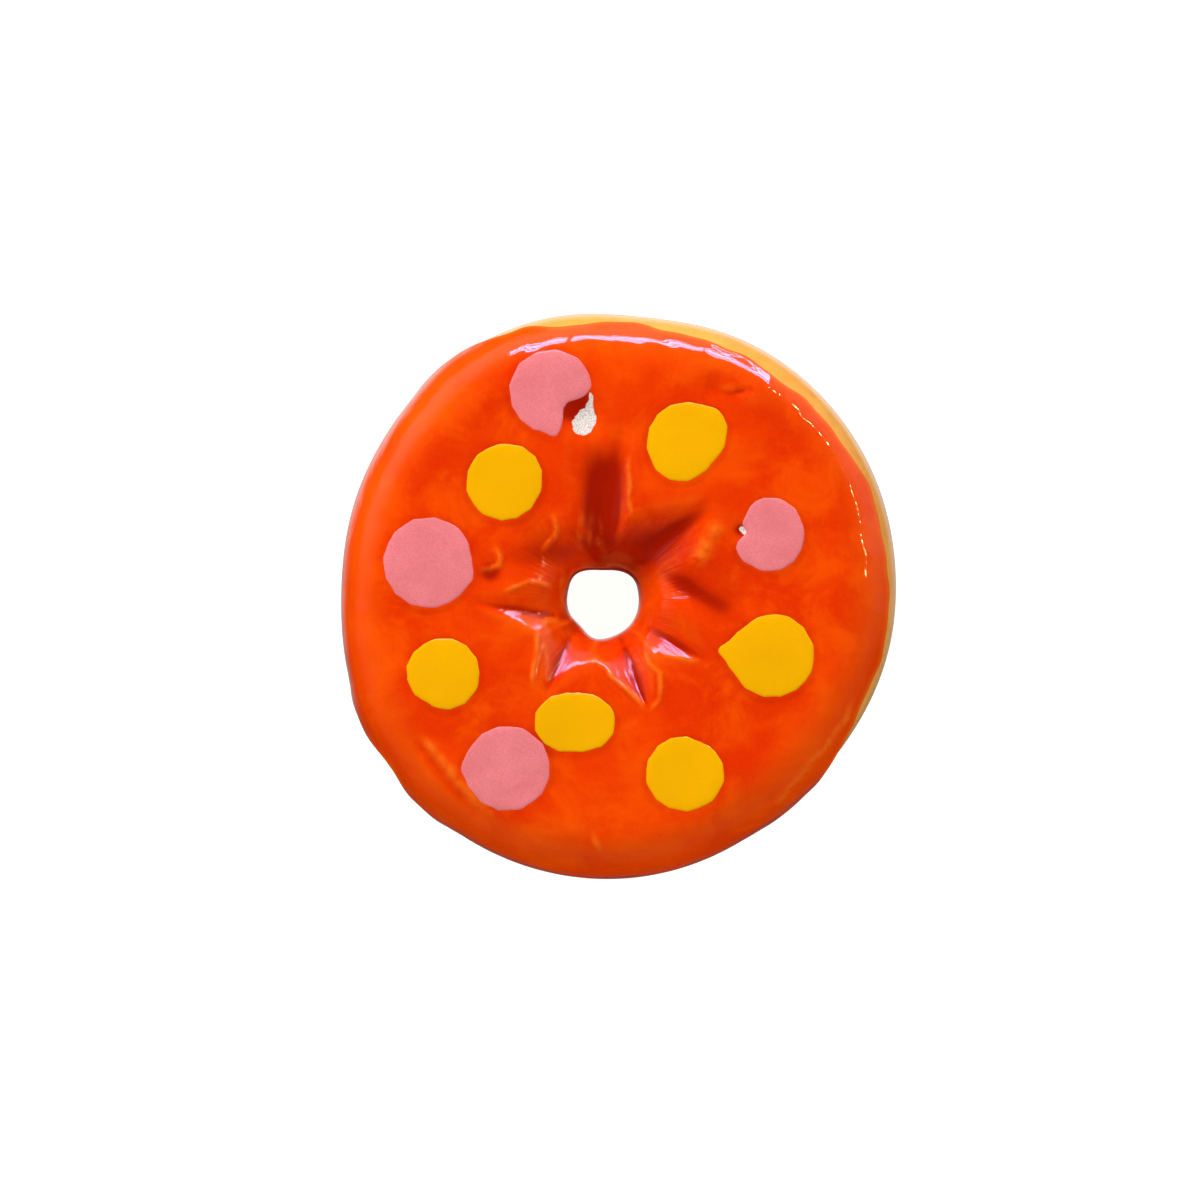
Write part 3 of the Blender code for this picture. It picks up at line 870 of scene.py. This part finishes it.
def pit_tree():
    """Pinholes scattered over the coat's upper face."""
    inputs = {
        "Coat": "Object",
        "Material": "Material",
        "Density": 2500.0,
        "Radius": 0.12 * MM,
        "Seed": 3,
    }
    tree, value, result = new_geometry_tree("glaze pits", inputs)
    upward = tree.nodes.new("FunctionNodeCompare")
    upward.operation = "GREATER_THAN"
    facing = tree.nodes.new("GeometryNodeInputNormal").outputs[0]
    put(tree, upward.inputs[0], parts_of(tree, facing)[2])
    upward.inputs[1].default_value = 0.9
    points = new_node(
        tree,
        "GeometryNodeDistributePointsOnFaces",
        {
            "Mesh": coat_geometry(tree, value),
            "Selection": upward.outputs[0],
            "Density": value["Density"],
            "Seed": value["Seed"],
        },
    )
    ball = new_node(tree, "GeometryNodeMeshIcoSphere", {"Radius": value["Radius"], "Subdivisions": 2})
    vary = tree.nodes.new("FunctionNodeRandomValue")
    vary.data_type = "FLOAT"
    vary.inputs[2].default_value = 0.5
    vary.inputs[3].default_value = 1.3
    put(tree, vary.inputs["Seed"], value["Seed"])
    copies = new_node(
        tree,
        "GeometryNodeInstanceOnPoints",
        {
            "Points": points.outputs["Points"],
            "Rotation": points.outputs["Rotation"],
            "Instance": ball.outputs["Mesh"],
            "Scale": vector_of(tree, vary.outputs[1], vary.outputs[1], 0.35),
        },
    )
    close_tree(tree, value, result, copies.outputs["Instances"])
    return tree


def grow(name, tree, values):
    """Runs a geometry tree with the given inputs and returns its result as a plain mesh."""
    holder = bpy.data.objects.new(name + "_maker", bpy.data.meshes.new(name + "_maker"))
    bpy.context.scene.collection.objects.link(holder)
    modifier = holder.modifiers.new("grow", "NODES")
    modifier.node_group = tree
    for item in tree.interface.items_tree:
        if item.item_type == "SOCKET" and item.in_out == "INPUT" and item.name in values:
            modifier[item.identifier] = values[item.name]
    graph = bpy.context.evaluated_depsgraph_get()
    mesh = bpy.data.meshes.new_from_object(holder.evaluated_get(graph))
    mesh.name = name
    maker = holder.data
    bpy.data.objects.remove(holder, do_unlink=True)
    bpy.data.meshes.remove(maker)
    if not mesh.polygons:
        raise RuntimeError(f"{name} came out empty")
    return mesh


# The pieces.


def dough_rings(around):
    """The body's rings: under the coat, down the side, across the base and up the hole."""
    angle = np.arange(around) * (2.0 * math.pi / around)
    neck = hole_edge(angle)
    start = hole_edge(angle, ROOT)
    end = side_point(angle, 0.0, 0.0)
    rings = []
    for part in np.linspace(0.0, 1.0, DOUGH_TOP_RINGS) ** RINGS_CROWD:
        rings.append(top_ring(start, end, part, LIP))
    for place in np.linspace(0.0, 2.0, DOUGH_SIDE_RINGS)[1:]:
        rings.append(ring_of(*blended_side(angle, np.full(around, place), LIP)))
    base = rings[-1]
    base[:, 2] = 0.0
    flare_x, flare_y = hole_edge(angle, HOLE_FLARE)
    for part in np.linspace(0.0, 1.0, DOUGH_BASE_RINGS)[1:]:
        x = base[:, 0] + (flare_x - base[:, 0]) * part
        y = base[:, 1] + (flare_y - base[:, 1]) * part
        rings.append(ring_of(x, y, 0.0))
    wall_top = top_height(*neck) - HOLE_TOP_DROP
    for turn in np.linspace(0.0, math.pi / 2, DOUGH_HOLE_RINGS)[1:]:
        x, y = hole_edge(angle, ROOT + (HOLE_FLARE - ROOT) * (1.0 - math.sin(turn)))
        rings.append(ring_of(x, y, wall_top * (1.0 - math.cos(turn))))
    return rings


def coat_rings(around):
    """The coat's rings and, for each of their points, how near it lies to the coat's edge."""
    angle = np.arange(around) * (2.0 * math.pi / around)
    edge = coat_edge(angle)
    for waves, size, phase in EDGE_RIPPLES:
        edge = edge + size * np.sin(waves * angle + phase)
    neck = hole_edge(angle)
    end = side_point(angle, 0.0, 0.0)
    rings = []
    nearness = []

    def add(ring, near=0.0):
        rings.append(ring)
        nearness.append(np.full(around, near))

    for part in np.linspace(0.0, 1.0, COAT_TOP_RINGS) ** RINGS_CROWD:
        add(top_ring(neck, end, part, 0.0))
    neck_height = rings[0][:, 2]
    for step in range(1, COAT_SIDE_RINGS + 1):
        place = (edge - EDGE_ROUND) * step / COAT_SIDE_RINGS
        near = np.exp(-(((edge - place - EDGE_ROUND) / BEAD_SPREAD) ** 2))
        add(ring_of(*blended_side(angle, place, -EDGE_BEAD * near)), near)
    for turn in np.radians([22, 45, 68, 90]):
        place = edge - EDGE_ROUND + EDGE_ROUND * math.sin(turn)
        sunk = (LIP + EDGE_BEAD) * (1.0 - math.cos(turn)) - EDGE_BEAD
        add(ring_of(*blended_side(angle, place, sunk)), 1.0)
    for part in (0.98, 0.7, 0.35):
        add(ring_of(*blended_side(angle, edge * part, LIP + ROOT)), 1.0)
    for part in np.linspace(1.0, 0.08, COAT_UNDER_RINGS):
        add(top_ring(neck, end, part, LIP + ROOT))
    for beyond, drop in COAT_NECK:
        x, y = hole_edge(angle, beyond)
        add(ring_of(x, y, neck_height - drop))
    return rings, nearness


def coat_attributes(mesh, nearness):
    """Gives the coat the numbers that its glaze reads, from 0 to 1 but for the glint patches.

    They are pool (thick glaze and painted shade, 0.5 where flat), crest, edge, star (the folds), ridge,
    shoulder (painted light) and bare (millimetres outside the pale patches painted as glints).
    """
    points = np.empty(len(mesh.vertices) * 3, dtype=np.float32)
    mesh.vertices.foreach_get("co", points)
    x, y, _ = points.reshape(-1, 3).astype(float).T
    inset = outline_radius(np.arctan2(y, x)) - np.hypot(x, y)
    broad = hollow(x, y, 2.6 * MM) / MM
    fine = hollow(x, y, 0.8 * MM) / MM
    from_x, from_y = x - HOLE_X, y - HOLE_Y
    near_hole = np.exp(-np.maximum(np.hypot(from_x, from_y) - HOLE_RADIUS, 0.0) / (2.0 * MM))
    on_top = np.clip((inset - 2.5 * MM) / (3.0 * MM), 0.0, 1.0) * (1.0 - near_hole)
    depth = -fold_depth(from_x, from_y) / MM
    # Painted shade: the folds are darkened by their depth, most on the hole's north side, where the slopes
    # face away from the window.
    shade = (0.5 + 0.5 * np.sin(np.arctan2(from_y, from_x))) ** 0.7
    # Hollows are darkened as thick glaze pooled there, and this also paints in the shade that falls in
    # them.
    pool_and_shade = 0.5 + (np.maximum(0.5 * broad, -0.1) + 1.2 * fine) * on_top
    pool_and_shade += 0.2 * np.clip(depth / 3.0, 0.0, 1.0) * shade
    # Painted shadow: a darker ring just south of each dot's rim, as if the dot cast it.
    for dot in DOTS:
        away = rim_distance(dot, x, y + 0.35 * MM) / MM
        pool_and_shade += 0.15 * np.exp(-((away - 0.15) ** 2) / 0.6)
    # Painted shade patches.
    for patch_x, patch_y, reach, amount in PAINTED_SHADE_PATCHES:
        away = np.hypot(x / MM - patch_x, y / MM - patch_y) / reach
        pool_and_shade += amount * np.exp(-0.5 * away**2)
    # Painted light: a band along the shoulder, lightened by an amount that depends on direction.
    shoulder = np.clip((8.5 * MM - inset) / (5.0 * MM), 0.0, 1.0)
    bearing = np.degrees(np.arctan2(y, x)) % 360.0
    painted_light = np.interp(bearing, SHOULDER_BEARINGS, SHOULDER_PAINTED_LIGHT)
    for name, values in (
        ("pool_and_shade", np.clip(pool_and_shade, 0.0, 1.0)),
        ("crest", np.clip(-fine * 9.0 - 0.25, 0.0, 1.0) * on_top),
        ("edge", np.concatenate(nearness)),
        ("star", np.clip(depth / 0.8, 0.0, 1.0)),
        ("ridge", crease_height(x, y)[1]),
        ("shoulder", shoulder * shoulder * (3.0 - 2.0 * shoulder) * painted_light),
        # Distance outside the painted glint patches.
        ("bare", np.where(inset > 3.0 * MM, bare_distance(x, y), 1000.0)),
    ):
        set_attribute(mesh, name, values)


class GlazeLooks(bpy.types.PropertyGroup):
    """The glazes' colours."""

    orange: FloatVectorProperty(
        name="Orange", description="The orange glaze on flat places",
        subtype="COLOR", default=(0.86, 0.047, 0.0005),
    )
    orange_deep: FloatVectorProperty(
        name="Deep orange", description="The orange glaze where it is thicker",
        subtype="COLOR", default=(0.76, 0.028, 0.0005),
    )
    # Used both for the glaze's lighter clouds and for the painted light on the shoulder.
    orange_light: FloatVectorProperty(
        name="Light orange", description="The orange glaze's lighter clouds",
        subtype="COLOR", default=(0.95, 0.092, 0.0008),
    )
    orange_thin: FloatVectorProperty(
        name="Thin orange", description="The orange glaze on ridges",
        subtype="COLOR", default=(0.95, 0.16, 0.008),
    )
    # Used for pooled glaze and for painted shade in folds and hollows.
    orange_pooled: FloatVectorProperty(
        name="Pooled orange", description="The orange glaze in folds",
        subtype="COLOR", default=(0.40, 0.010, 0.0005),
    )
    dough: FloatVectorProperty(
        name="Dough", description="The body's glaze",
        subtype="COLOR", default=(0.92, 0.40, 0.065),
    )
    dough_light: FloatVectorProperty(
        name="Light dough", description="The body's paler glaze",
        subtype="COLOR", default=(0.95, 0.47, 0.10),
    )
    # Used for brown streaks and for the painted shade towards the base.
    dough_brown: FloatVectorProperty(
        name="Brown dough", description="The body's browned streaks",
        subtype="COLOR", default=(0.74, 0.25, 0.03),
    )
    pink: FloatVectorProperty(
        name="Pink", description="The pink dots",
        subtype="COLOR", default=(0.86, 0.24, 0.275),
    )
    pink_dark: FloatVectorProperty(
        name="Dark pink", description="The pink dots' grain",
        subtype="COLOR", default=(0.64, 0.13, 0.14),
    )
    yellow: FloatVectorProperty(
        name="Yellow", description="The yellow dots",
        subtype="COLOR", default=(0.90, 0.45, 0.001),
    )
    yellow_dark: FloatVectorProperty(
        name="Dark yellow", description="The yellow dots' grain",
        subtype="COLOR", default=(0.84, 0.38, 0.002),
    )
    # The painted glints' pale colour and its specks.
    clay: FloatVectorProperty(
        name="Clay", description="The pale clay where the glaze missed",
        subtype="COLOR", default=(0.84, 0.78, 0.76),
    )
    clay_speck: FloatVectorProperty(
        name="Clay specks", description="The pale clay's specks",
        subtype="COLOR", default=(0.45, 0.38, 0.36),
    )
    # Painted shade: the dark colour stands in for the shade inside a pinhole.
    pit: FloatVectorProperty(
        name="Pinhole", description="The dark of a pinhole",
        subtype="COLOR", default=(0.10, 0.02, 0.01),
    )
    floor: FloatVectorProperty(
        name="Floor", description="The pale floor",
        subtype="COLOR", default=(0.3, 0.3, 0.3),
    )
    floor_patch: FloatVectorProperty(
        name="Floor patches", description="The pale floor's darker patches",
        subtype="COLOR", default=(0.27, 0.27, 0.27),
    )
    floor_glow: FloatProperty(name="Floor glow", description="The light of the pale floor", default=0.92)


class DotSizes(bpy.types.PropertyGroup):
    """The raised dots and the pinholes."""

    rise: FloatProperty(
        name="Rise", description="How far a dot stands out of the coat", unit="LENGTH", default=0.16 * MM
    )
    wobble: FloatProperty(
        name="Wobble", description="How uneven the hand-cut rims are", unit="LENGTH", default=0.17 * MM
    )
    facets: IntProperty(name="Facets", description="Straight cuts around a dot's rim", default=12, min=3)
    cut: FloatProperty(
        name="Cut", description="How deep a straight cut goes, as a share of the radius", default=0.024
    )
    around: IntProperty(name="Around", description="Points around a dot's rim", default=180, min=24)
    pit_radius: FloatProperty(
        name="Pinhole radius", description="The radius of a middling pinhole",
        unit="LENGTH", default=0.10 * MM,
    )
    pit_density: FloatProperty(
        name="Pinhole density", description="Pinholes to the square metre", default=2500.0
    )
    seed: IntProperty(name="Seed", description="The pinholes' scatter", default=3)


class StageSettings(bpy.types.PropertyGroup):
    """The floor, the lights and the camera."""

    lens: FloatProperty(name="Lens", description="The camera's focal length in millimetres", default=180.0)
    window: FloatProperty(name="Window", description="The window light's power in watts", default=20.0)
    key: FloatProperty(
        name="Key", description="The power in watts of the soft light beside the window", default=16.0
    )
    fill: FloatProperty(name="Fill", description="The soft overhead light's power in watts", default=19.0)
    front: FloatProperty(
        name="Front", description="The power in watts of the soft light in front", default=5.0
    )
    sparkle: FloatProperty(name="Sparkle", description="A small lamp's power in watts", default=0.3)
    sky: FloatProperty(name="Sky", description="The strength of the light from all round", default=0.5)
    window_colour: FloatVectorProperty(
        name="Window colour", description="The window's cool light",
        subtype="COLOR", default=(0.80, 0.52, 0.95),
    )
    soft_colour: FloatVectorProperty(
        name="Soft colour", description="The soft lights' warmth",
        subtype="COLOR", default=(1.0, 0.96, 0.92),
    )
    sparkle_colour: FloatVectorProperty(
        name="Sparkle colour", description="The small lamps' gold",
        subtype="COLOR", default=(1.0, 0.80, 0.34),
    )
    sky_colour: FloatVectorProperty(
        name="Sky colour", description="The light from all round",
        subtype="COLOR", default=(1.0, 0.97, 0.94),
    )


class DOUGHNUT_OT_dough_body(bpy.types.Operator):
    """Make the dough-coloured ceramic body"""

    bl_idname = "doughnut.dough_body"
    bl_label = "Dough body"

    def execute(self, context):
        mesh = ring_mesh("dough_body", dough_rings(DOUGH_AROUND))
        add_piece("dough_body", mesh, dough_glaze(context.scene.glaze_looks))
        return {"FINISHED"}


class DOUGHNUT_OT_orange_coat(bpy.types.Operator):
    """Make the orange coat with its folds, dents and lip"""

    bl_idname = "doughnut.orange_coat"
    bl_label = "Orange coat"

    def execute(self, context):
        rings, nearness = coat_rings(COAT_AROUND)
        mesh = ring_mesh("orange_coat", rings)
        coat_attributes(mesh, nearness)
        add_piece("orange_coat", mesh, orange_glaze(context.scene.glaze_looks))
        return {"FINISHED"}


class DOUGHNUT_OT_glaze_dots(bpy.types.Operator):
    """Lay the pink and yellow dots on the coat"""

    bl_idname = "doughnut.glaze_dots"
    bl_label = "Glaze dots"

    def execute(self, context):
        sizes = context.scene.dot_sizes
        looks = context.scene.glaze_looks
        glazes = {
            "pink": dot_glaze("pink glaze", looks.pink, looks.pink_dark),
            "yellow": dot_glaze("yellow glaze", looks.yellow, looks.yellow_dark),
        }
        tree = dot_tree()
        for number, dot in enumerate(DOTS, start=1):
            values = {
                "Coat": bpy.data.objects["orange_coat"],
                "Material": glazes[dot.colour],
                "Middle X": dot.x * MM,
                "Middle Y": dot.y * MM,
                "Radius": dot.radius * MM,
                "Stretch": dot.stretch,
                "Rise": sizes.rise,
                "Wobble": sizes.wobble,
                "Facets": sizes.facets,
                "Cut": sizes.cut,
                "Around": sizes.around,
            }
            for index, (direction, rise, wide) in enumerate(dot.swells):
                values[f"Direction {index}"] = float(direction)
                values[f"Swell {index}"] = rise * MM
                values[f"Spread {index}"] = float(wide)
            name = f"{dot.colour}_dot_{number}"
            add_piece(name, grow(name, tree, values), glazes[dot.colour])
        return {"FINISHED"}


class DOUGHNUT_OT_glaze_pits(bpy.types.Operator):
    """Scatter pinholes over the coat"""

    bl_idname = "doughnut.glaze_pits"
    bl_label = "Glaze pits"

    def execute(self, context):
        sizes = context.scene.dot_sizes
        material = pit_glaze(context.scene.glaze_looks)
        values = {
            "Coat": bpy.data.objects["orange_coat"],
            "Material": material,
            "Density": sizes.pit_density,
            "Radius": sizes.pit_radius,
            "Seed": sizes.seed,
        }
        add_piece("glaze_pits", grow("glaze_pits", pit_tree(), values), material)
        return {"FINISHED"}


def area_light(name, place, size, power, colour):
    """A rectangular light that faces the doughnut."""
    light = bpy.data.lights.new(name, "AREA")
    light.shape = "RECTANGLE"
    light.size, light.size_y = size
    light.energy = power
    light.color = colour
    lamp = bpy.data.objects.new(name, light)
    lamp.location = place
    lamp.rotation_euler = (Vector(AIM) - Vector(place)).to_track_quat("-Z", "Y").to_euler()
    bpy.context.scene.collection.objects.link(lamp)
    return lamp


def sky_light(settings):
    """Light from all round, dark overhead and bright near the horizon beyond the window."""
    world = bpy.data.worlds.new("soft room")
    bpy.context.scene.world = world
    world.use_nodes = True
    tree = world.node_tree
    _, north, up = parts_of(tree, tree.nodes.new("ShaderNodeTexCoord").outputs["Generated"])
    above = spread(tree, up, 0.25, 0.85, 1.0, 0.0)
    below = spread(tree, up, -0.35, 0.05, 0.04, 1.0)
    level = product(tree, above, below, spread(tree, north, -0.3, 0.7, 0.12, 1.6))
    from_floor = product(
        tree, spread(tree, up, -0.95, -0.7, 1.6, 0.0), spread(tree, north, -0.2, 0.25, 0.05, 1.0)
    )
    level = maths(tree, "ADD", level, from_floor)
    background = tree.nodes["Background"]
    put(tree, background.inputs["Strength"], product(tree, level, settings.sky))
    background.inputs["Color"].default_value = (*settings.sky_colour, 1.0)


def set_floor(looks):
    """A wide plain floor that the doughnut lies on."""
    bpy.ops.mesh.primitive_plane_add(size=FLOOR_SIDE, location=(0.0, 0.0, 0.0))
    floor = bpy.context.object
    floor.name = "floor"
    floor.data.materials.append(floor_paint(looks))
    floor.visible_glossy = False


def set_window(settings):
    """Panes that only the glaze mirrors."""
    glass = len(WINDOW_COLUMNS) * sum(tall for _, tall in WINDOW_ROWS)
    for column, across in enumerate(WINDOW_COLUMNS):
        for row, (high, tall) in enumerate(WINDOW_ROWS):
            place = (across, WINDOW_AWAY, high)
            power = settings.window * tall / glass
            name = f"window_{column}_{row}"
            pane = area_light(name, place, (PANE_WIDTH, tall), power, settings.window_colour)
            pane.visible_diffuse = False


def set_soft_lights(settings):
    """Broad lights that the glaze doesn't mirror."""
    for name, place, size, power in (
        ("soft_key", (-0.5, 1.1, 0.68), (1.0, 0.6), settings.key),
        ("soft_overhead", (0.0, 0.1, 1.6), (2.0, 2.0), settings.fill),
        ("soft_front", (0.1, -1.3, 0.8), (1.6, 0.8), settings.front),
    ):
        soft = area_light(name, place, size, power, settings.soft_colour)
        soft.visible_glossy = False


def set_lamps(settings):
    """A row of small lamps that only the glaze mirrors, for the glints on the right."""
    for lamp in range(LAMPS):
        bearing = math.radians(LAMP_FIRST_BEARING + LAMP_BEARING_STEP * lamp)
        slant = math.radians(LAMP_SLANT - LAMP_SLANT_STEP * abs(lamp - LAMPS // 2))
        out = LAMP_AWAY * math.sin(slant)
        place = (out * math.cos(bearing), out * math.sin(bearing), LAMP_AWAY * math.cos(slant))
        wide = 0.02 + 0.009 * (lamp * 7 % 5)
        size = (wide, LAMP_TALL)
        glint = area_light(f"lamp_{lamp}", place, size, settings.sparkle, settings.sparkle_colour)
        glint.visible_diffuse = False


def set_camera(lens):
    """A camera straight above, that frames the doughnut as the photograph does."""
    camera = bpy.data.cameras.new("camera")
    camera.lens = lens
    camera.clip_start = 0.01
    holder = bpy.data.objects.new("camera", camera)
    middle = PHOTO_SIDE / 2.0
    far = PHOTO_SIDE / PHOTO_SCALE * camera.lens / camera.sensor_width
    holder.location = (
        (middle - PHOTO_CENTRE_X) / PHOTO_SCALE,
        (PHOTO_CENTRE_Y - middle) / PHOTO_SCALE,
        WIDEST_HEIGHT + far,
    )
    bpy.context.scene.collection.objects.link(holder)
    bpy.context.scene.camera = holder


class DOUGHNUT_OT_stage(bpy.types.Operator):
    """Set out the floor, the lights and the camera"""

    bl_idname = "doughnut.stage"
    bl_label = "Stage"

    def execute(self, context):
        settings = context.scene.stage_settings
        context.scene.view_settings.view_transform = "Standard"
        set_floor(context.scene.glaze_looks)
        sky_light(settings)
        set_window(settings)
        set_soft_lights(settings)
        set_lamps(settings)
        set_camera(settings.lens)
        return {"FINISHED"}


class VIEW3D_PT_doughnut(bpy.types.Panel):
    """The doughnut's steps, in order"""

    bl_label = "Glazed doughnut"
    bl_idname = "VIEW3D_PT_doughnut"
    bl_space_type = "VIEW_3D"
    bl_region_type = "UI"
    bl_category = "Doughnut"

    def draw(self, context):
        for step in STEPS:
            self.layout.operator(step.bl_idname)
        for group in (context.scene.glaze_looks, context.scene.dot_sizes, context.scene.stage_settings):
            box = self.layout.box()
            for name in group.__annotations__:
                box.prop(group, name)


GROUPS = (GlazeLooks, DotSizes, StageSettings)
STEPS = (
    DOUGHNUT_OT_dough_body,
    DOUGHNUT_OT_orange_coat,
    DOUGHNUT_OT_glaze_dots,
    DOUGHNUT_OT_glaze_pits,
    DOUGHNUT_OT_stage,
)


def register():
    """Makes the steps, their settings and the panel known to Blender."""
    for cls in (*GROUPS, *STEPS, VIEW3D_PT_doughnut):
        bpy.utils.register_class(cls)
    bpy.types.Scene.glaze_looks = PointerProperty(type=GlazeLooks)
    bpy.types.Scene.dot_sizes = PointerProperty(type=DotSizes)
    bpy.types.Scene.stage_settings = PointerProperty(type=StageSettings)


def unregister():
    """Takes back what register did."""
    del bpy.types.Scene.stage_settings
    del bpy.types.Scene.dot_sizes
    del bpy.types.Scene.glaze_looks
    for cls in reversed((*GROUPS, *STEPS, VIEW3D_PT_doughnut)):
        bpy.utils.unregister_class(cls)


def main():
    """Makes the doughnut and its stage."""
    register()
    bpy.ops.doughnut.dough_body()
    bpy.ops.doughnut.orange_coat()
    bpy.ops.doughnut.glaze_dots()
    bpy.ops.doughnut.glaze_pits()
    bpy.ops.doughnut.stage()


if __name__ == "__main__":
    main()
